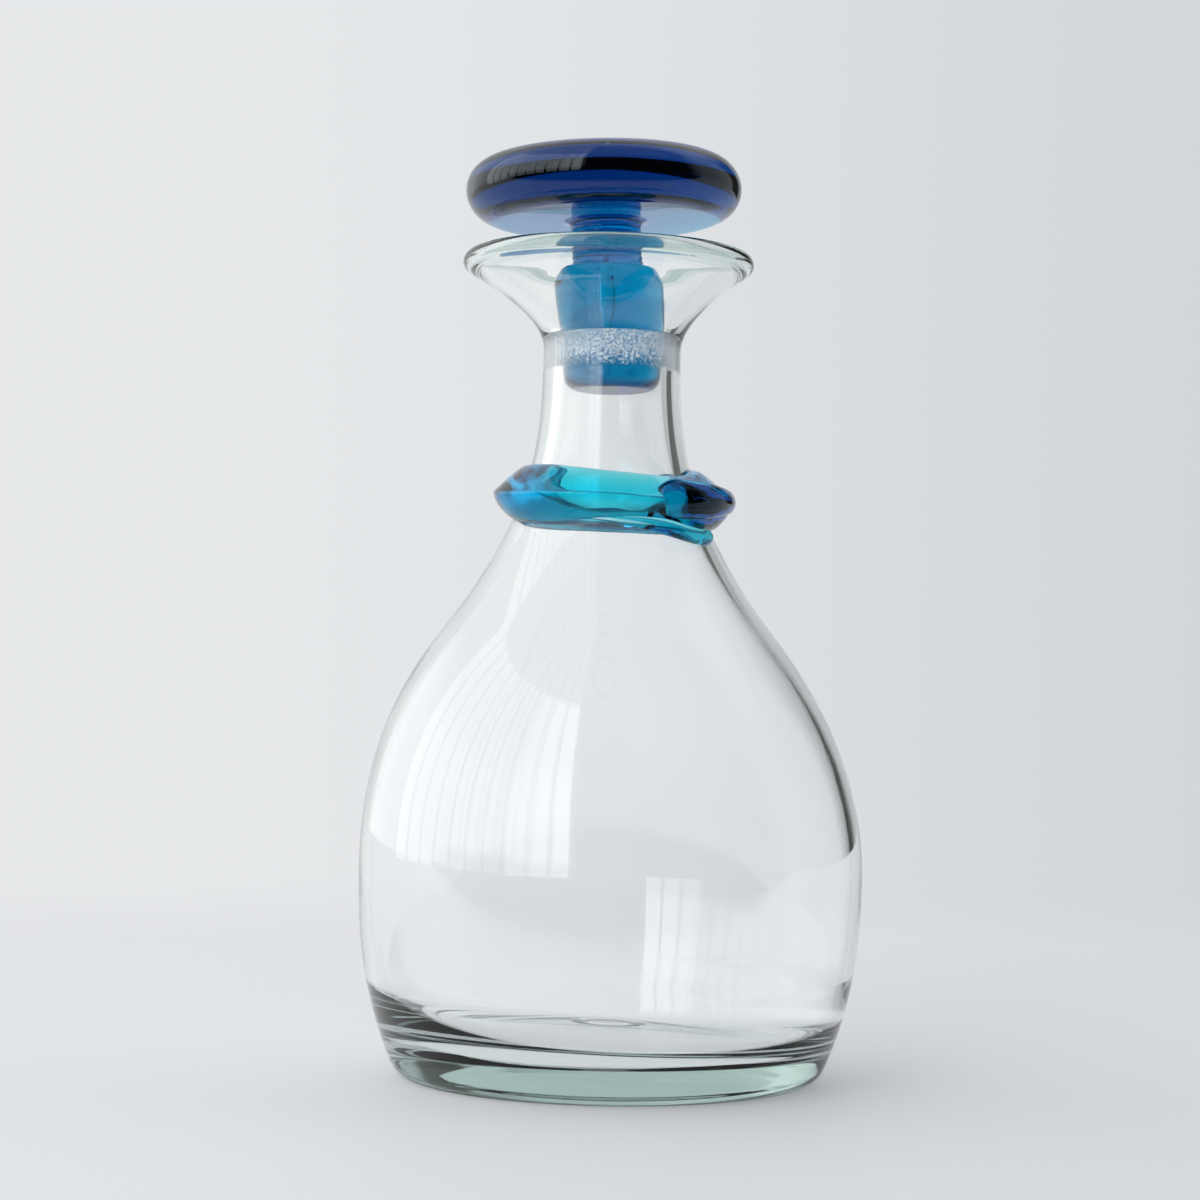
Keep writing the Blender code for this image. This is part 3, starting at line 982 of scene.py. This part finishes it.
    def draw_tongue(self) -> Object:
        """Runs the thin last end along the trail's lower edge and down to a rounded tip."""
        course = []
        sag = SmoothCurve(self.tongue)
        first, last = self.tongue[0].position, self.tongue[-1].position
        for i in range(self.tongue_steps + 1):
            share = i / self.tongue_steps
            turn = first + (last - first) * share
            tip = max((share - (1 - self.tongue_tip)) / self.tongue_tip, 0.0)
            grown = self.tongue_start + (1 - self.tongue_start) * eased(share / self.tongue_full)
            size = self.tongue_size * grown * math.sqrt(max(1 - tip**2, self.tongue_blunt))
            course.append((self.place(turn, sag.at(turn), self.tongue_out * size), size))
        return swept_glass("trail_tongue", course, self.lozenge(self.tongue_width, 1.0))

    def build(self, glass: Material, neck: Object) -> Object:
        """Winds the whole trail and lays it against the neck.

        Args:
            glass: Its material.
            neck: The bottle it is wound on.

        Returns:
            The object.
        """
        item = self.wind_ring()
        for part in (self.lay_lap(), self.draw_tongue()):
            apply_modifier(item, "BOOLEAN", operation="UNION", solver="EXACT", object=part)
            bpy.data.objects.remove(part)
        face_outwards(item)
        apply_modifier(item, "SHRINKWRAP", target=neck, wrap_method="NEAREST_SURFACEPOINT",
                       wrap_mode="OUTSIDE", offset=self.gap)
        bpy.ops.object.shade_smooth_by_angle(angle=SMOOTH_ANGLE)
        item.name = "trail_glass"
        item.data.materials.append(glass)
        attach(item, Body.BOTTLE.value)
        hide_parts("neck_collar")
        return item


@dataclass(frozen=True)
class Bubble:
    """An air bubble: its middle, its half sizes, its lean, its bow and how pointed its ends are."""

    place: tuple[float, float, float]
    half_width: float
    half_depth: float
    half_height: float
    lean: float = 0.0
    bow: float = 0.0
    sharpness: float = 0.5


@dataclass
class Stopper:
    """The solid stopper: a ground plug, a ridged stem and a flat round head that leans to the left."""

    bottle: Bottle
    facets: int = 56
    pole: float = 0.0006
    gap: float = 0.0003
    below_seat: float = 0.0045
    foot_roll: float = 0.0032
    swell: float = 0.0007
    above_lip: float = 0.0004
    shoulder_roll: float = 0.0048
    shoulder_turn: float = math.radians(80)
    stem_radius: float = 0.0088
    stem_rise: float = 0.0106
    stem_fillet: float = 0.0022
    stem_ridge: float = 0.00025
    stem_ridges: int = 4
    head_radius: float = 0.0352
    head_thickness: float = 0.0158
    head_dome: float = 0.0010
    lean: float = 0.078
    head_tilt: float = math.radians(1.8)
    bubbles: tuple[Bubble, ...] = (
        Bubble((-0.0032, -0.0015, 0.1994), 0.0014, 0.0012, 0.0102, math.radians(3.0), 0.0002, 0.8),
        Bubble((-0.0036, -0.0300, 0.2296), 0.0010, 0.0006, 0.0004),
        Bubble((0.0090, -0.0180, 0.2250), 0.0003, 0.0003, 0.0003),
    )

    def side(self) -> Profile:
        """Draws the side from the middle of the plug's foot up to the middle of the head's top."""
        def fitted(height: float) -> float:
            return self.bottle.seat_radius(height) - self.gap

        foot = self.bottle.seat_foot - self.below_seat
        top = self.bottle.bead_height + self.above_lip
        head = top + self.stem_rise
        roll = (fitted(foot + self.foot_roll) - self.foot_roll, foot + self.foot_roll)
        points = [(self.pole, foot)] + [(radius, foot) for radius in span(self.pole, roll[0], 5)]
        points += arc(roll, self.foot_roll, -math.pi / 2, 0, 7)[1:]
        points += [(fitted(height), height) for height in span(roll[1], self.bottle.seat_top, 7)]
        shoulder = (points[-1][0] + self.swell, top - self.shoulder_roll)
        points += bent_line(points[-1], (self.bottle.seat_slope, 1), shoulder, (0, 1), 8)
        shoulder = (shoulder[0] - self.shoulder_roll, shoulder[1])
        points += arc(shoulder, self.shoulder_roll, 0, self.shoulder_turn, 8)
        steps = 8 * self.stem_ridges
        for i in range(steps + 1):
            share = i / steps
            ridge = self.stem_ridge * (1 - math.cos(math.tau * self.stem_ridges * share)) / 2
            points.append((self.stem_radius + ridge, top + (self.stem_rise - self.stem_fillet) * share))
        fillet = (self.stem_radius + self.stem_fillet, head - self.stem_fillet)
        points += arc(fillet, self.stem_fillet, math.pi, math.pi / 2, 6)[1:]
        half = self.head_thickness / 2
        rim = (self.head_radius - half, head + half)
        points += [(radius, head) for radius in span(fillet[0], rim[0], 6)[:-1]]
        points += arc(rim, half, -math.pi / 2, math.pi / 2, 24)
        for radius in span(rim[0], self.pole, 9):
            dome = self.head_dome * (1 - (radius / rim[0]) ** 2)
            points.append((radius, head + self.head_thickness + dome))
        return points

    def blow_bubble(self, bubble: Bubble) -> Object:
        """Makes a bubble's skin, which faces the air inside it.

        Args:
            bubble: The bubble.

        Returns:
            The object.
        """
        deselect_all()
        bpy.ops.mesh.primitive_uv_sphere_add(segments=24, ring_count=24, radius=1.0)
        item = bpy.context.active_object
        for vertex in item.data.vertices:
            along = min(max(vertex.co.z, -1.0), 1.0)
            girth = math.sqrt(max(1 - along**2, 1e-9))
            slim = (1 - along**2) ** bubble.sharpness / girth
            bend = bubble.bow * (1 - along**2)
            vertex.co.x = vertex.co.x * slim * bubble.half_width + bend
            vertex.co.y = vertex.co.y * slim * bubble.half_depth
            vertex.co.z = along * bubble.half_height
        bpy.ops.object.mode_set(mode="EDIT")
        bpy.ops.mesh.select_all(action="SELECT")
        bpy.ops.mesh.normals_make_consistent(inside=True)
        bpy.ops.transform.rotate(value=bubble.lean, orient_axis="Y", center_override=(0, 0, 0))
        bpy.ops.transform.translate(value=bubble.place)
        bpy.ops.object.mode_set(mode="OBJECT")
        bpy.ops.object.shade_smooth()
        return item

    def build(self, glass: Material) -> Object:
        """Draws the stopper.

        Args:
            glass: Its material.

        Returns:
            The object.
        """
        top = self.bottle.bead_height + self.above_lip
        rings = []
        for radius, height in self.side():
            lean = self.lean * max(height - self.bottle.seat_top, 0.0)
            tilt = self.head_tilt * eased((height - top) / self.stem_rise)
            rings.append(Ring(height, radius, -self.bottle.neck_drift - lean, tilt))
        item = drawn_glass("stopper_glass", self.facets, rings)
        bubbles = [self.blow_bubble(bubble) for bubble in self.bubbles]
        make_active(item)
        for bubble in bubbles:
            bubble.select_set(True)
        bpy.ops.object.join()
        item.data.materials.append(glass)
        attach(item, Body.STOPPER.value)
        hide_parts("stopper")
        return item


@dataclass(frozen=True)
class Pane:
    """A pane of the window: its angle from the front, how wide it looks, in degrees, and its radiance."""

    turn: float
    spread: float
    radiance: float
    only_mirrored: bool = False


@dataclass
class Studio:
    """The pale floor, the soft light and the camera. Pairs say where a look starts and is complete."""

    camera_distance: float = 0.6756
    camera_height: float = 0.0961
    lens: float = 79.8
    pitch: float = math.radians(2.05)
    yaw: float = math.radians(0.323)
    roll: float = math.radians(1.0)
    floor_radius: float = 8.0
    floor_colour: Colour = (0.86, 0.87, 0.89)
    floor_roughness: float = 0.6
    floor_fades: Pair = (0.22, 0.75)
    # where reflections see the table dark in front: a painted dark reflection
    mirrored_dark_span: Pair = (-0.12, -0.28)
    shadow_lift: float = 0.3
    passed_light: float = 0.8
    pale_left: Colour = (0.80, 0.815, 0.83)
    pale_right: Colour = (0.64, 0.66, 0.69)
    pale_turns: Pair = (-0.2, 0.3)
    bright_side: Colour = (1.2, 1.22, 1.24)
    bright_from: Pair = (-0.45, -0.65)
    dark_side: Colour = (0.03, 0.03, 0.035)
    dim_side: Colour = (0.42, 0.43, 0.44)
    dims_upwards: Pair = (0.50, 0.80)
    overhead: Colour = (1.15, 1.15, 1.15)
    overhead_up: Pair = (0.45, 0.8)
    overhead_back: Pair = (-0.15, 0.15)
    overhead_inside: Colour = (0.45, 0.46, 0.47)
    inside_up: Pair = (0.35, 0.60)
    right_side: Colour = (0.50, 0.52, 0.53)
    right_from: Pair = (0.20, 0.40)
    behind_from: Pair = (-0.30, 0.05)
    dark_post: Colour = (0.06, 0.06, 0.055)
    post_left: Pair = (0.44, 0.50)
    post_right: Pair = (0.76, 0.68)
    edge_slope: float = 0.287
    edge_blur: Pair = (-0.02, 0.05)
    sill: Pair = (0.0, 0.08)
    through_gain: float = 1.12
    slats_per_turn: float = 40.0
    slat_edge: Pair = (0.16, 0.11)
    panes: tuple[Pane, ...] = (
        Pane(-22.5, 8.0, 1.5), Pane(-32.0, 8.5, 1.4), Pane(-42.5, 9.5, 1.1),
        *(Pane(turn, 7.5, 1.15, True) for turn in (-53, -62, -71)),
        *(Pane(turn, 7.5, 1.2, True) for turn in (-80, -89, -98, -107)))
    window_distance: float = 1.6
    window_low: float = 0.02
    window_high: float = 2.1

    def place_camera(self) -> None:
        """Sets the camera at the photograph's viewing angle."""
        data = bpy.data.cameras.new("camera")
        data.lens = self.lens
        camera = bpy.data.objects.new("camera", data)
        bpy.context.scene.collection.objects.link(camera)
        turn = Matrix.Rotation(self.yaw, 4, "Z") @ Matrix.Rotation(math.pi / 2, 4, "X")
        turn = turn @ Matrix.Rotation(self.pitch, 4, "X") @ Matrix.Rotation(self.roll, 4, "Z")
        camera.matrix_world = Matrix.Translation((0, -self.camera_distance, self.camera_height)) @ turn
        bpy.context.scene.camera = camera

    def pale(self, graph: Graph, aside: Socket, gain: float = 1.0) -> Socket:
        """Adds the backdrop's colour, which is a little darker to the right.

        Args:
            graph: The graph.
            aside: The direction's part along X.
            gain: How much brighter it is than what the camera sees.

        Returns:
            The colour.
        """
        left, right = ([gain * part for part in colour] for colour in (self.pale_left, self.pale_right))
        return graph.blended(graph.ramped(aside, *self.pale_turns), left, right)

    def lay_floor(self) -> None:
        """Lays a pale round table that goes over into the backdrop's colour away from the decanter. Its glow is
        partly painted light: near the decanter it lifts the shadow and stands in for light through the glass,
        and in front reflections see it dark, a painted dark reflection.
        """
        deselect_all()
        bpy.ops.mesh.primitive_circle_add(vertices=96, radius=self.floor_radius, fill_type="NGON",
                                          location=(0, 0, 0))
        floor = bpy.context.active_object
        floor.name = "table"
        material, graph, shader, output = start_material("pale table")
        compute, place = graph.compute, graph.place()
        graph.feed(shader, {"Base Color": (*self.floor_colour, 1), "Roughness": self.floor_roughness})
        away = graph.vector("LENGTH", place)["Value"]
        seen_from = graph.vector("ADD", place, (0, self.camera_distance, 0))["Vector"]
        aside = graph.split(graph.vector("NORMALIZE", seen_from)["Vector"])["X"]
        path = graph.add("LightPath", {}).outputs
        camera, through, glossy = (path[f"Is {kind} Ray"] for kind in ("Camera", "Transmission", "Glossy"))
        turned = compute("GREATER_THAN", path["Glossy Depth"], 0.5)
        # painted dark reflection: rays that were reflected see the table dark in front of the decanter, while
        # the camera sees it pale
        mirrored_dark = compute("MULTIPLY", graph.ramped(graph.split(place)["Y"], *self.mirrored_dark_span), turned)
        # painted glow: the backdrop's colour far away, the dark reflection in front, and painted light near the
        # decanter
        painted_glow = graph.add("Emission", {
            "Color": graph.blended(mirrored_dark, self.pale(graph, aside), self.dark_side),
            "Strength": compute("MULTIPLY_ADD", through, self.through_gain - 1, 1.0)})
        far = compute("MAXIMUM", graph.ramped(away, *self.floor_fades), mirrored_dark)
        passed = compute("MULTIPLY", through, self.passed_light)
        near = compute("MULTIPLY_ADD", camera, self.shadow_lift, passed)
        seen = compute("MAXIMUM", compute("MAXIMUM", camera, through), glossy)
        share = compute("MULTIPLY", compute("MAXIMUM", far, near), seen)
        both = graph.add("MixShader", {0: share, 1: shader.outputs["BSDF"], 2: painted_glow.outputs["Emission"]})
        graph.feed(output, {"Surface": both.outputs["Shader"]})
        floor.data.materials.append(material)

    def light_room(self) -> None:
        """Sets a pale world that is bright to the left and dark behind and to the right of the camera."""
        world = bpy.data.worlds.new("studio")
        world.use_nodes = True
        graph = Graph(world.node_tree)
        compute, ramped, blended = graph.compute, graph.ramped, graph.blended
        aside, back, up = graph.split(graph.add("TexCoord", {}).outputs["Generated"])
        path = graph.add("LightPath", {}).outputs
        through = path["Is Transmission Ray"]
        front = blended(ramped(up, *self.dims_upwards), self.dark_side, self.dim_side)
        edge = compute("SUBTRACT", compute("MULTIPLY", back, self.edge_slope), aside)
        turn = compute("ARCTAN2", aside, compute("MULTIPLY", back, -1.0))
        turn = compute("FRACT", compute("MULTIPLY", turn, self.slats_per_turn / math.tau))
        window = blended(ramped(turn, *self.slat_edge), self.bright_side, self.dim_side)
        lit = compute("MULTIPLY", ramped(edge, *self.edge_blur), ramped(up, *self.sill))
        front = blended(lit, front, window)
        post = compute("MULTIPLY", ramped(aside, *self.post_left), ramped(aside, *self.post_right))
        pale = self.pale(graph, aside)
        sides = blended(ramped(aside, *self.right_from), pale, self.right_side)
        sides = blended(post, sides, self.dark_post)
        sides = blended(ramped(aside, *self.bright_from), sides, self.bright_side)
        room = blended(ramped(back, *self.behind_from), front, sides)
        above = compute("MULTIPLY", ramped(up, *self.overhead_up), ramped(back, *self.overhead_back))
        room = blended(above, room, blended(through, self.overhead, self.overhead_inside))
        high = compute("MULTIPLY", ramped(up, *self.inside_up), through)
        room = blended(high, room, self.overhead_inside)
        unturned = compute("MULTIPLY", compute("LESS_THAN", path["Glossy Depth"], 0.5), through)
        seen = blended(path["Is Camera Ray"], room, pale)
        seen = blended(unturned, seen, self.pale(graph, aside, self.through_gain))
        graph.feed(world.node_tree.nodes["Background"], {"Color": seen})
        bpy.context.scene.world = world

    def hang_windows(self) -> None:
        """Hangs the tall panes of the window to the left, the far ones to be seen in reflections only."""
        height = self.window_high - self.window_low
        for pane in self.panes:
            width = 2 * self.window_distance * math.tan(math.radians(pane.spread / 2))
            data = bpy.data.lights.new("window", "AREA")
            data.shape = "RECTANGLE"
            data.size = width
            data.size_y = height
            data.energy = math.pi * width * height * pane.radiance
            lamp = bpy.data.objects.new("window", data)
            bpy.context.scene.collection.objects.link(lamp)
            side = math.radians(pane.turn)
            lamp.location = (self.window_distance * math.sin(side), -self.window_distance * math.cos(side),
                             self.window_low + height / 2)
            lamp.rotation_euler = (math.pi / 2, 0, side)
            lamp.visible_camera = False
            lamp.visible_diffuse = lamp.visible_transmission = not pane.only_mirrored


def main() -> None:
    """Builds the studio and the pieces in order, and reports each one."""
    logging.basicConfig(level=logging.INFO, format="%(message)s")
    bpy.context.scene.view_settings.view_transform = "Standard"
    studio = Studio()
    studio.place_camera()
    studio.lay_floor()
    studio.light_room()
    studio.hang_windows()
    groups = Groups(BlownSurface().build(), GroundMask().build(), DeeperMask().build())
    bottle = Bottle()
    clear = bottle.build(CLEAR_GLASS.build(groups))
    pieces = (clear, GroundSeat(bottle).build(BLOOM.build(groups)),
              NeckTrail(bottle).build(AQUA_GLASS.build(groups), clear),
              Stopper(bottle).build(COBALT_GLASS.build(groups)))
    for piece in pieces:
        log.info("%s: %d faces", piece.name, len(piece.data.polygons))


if __name__ == "__main__":
    main()
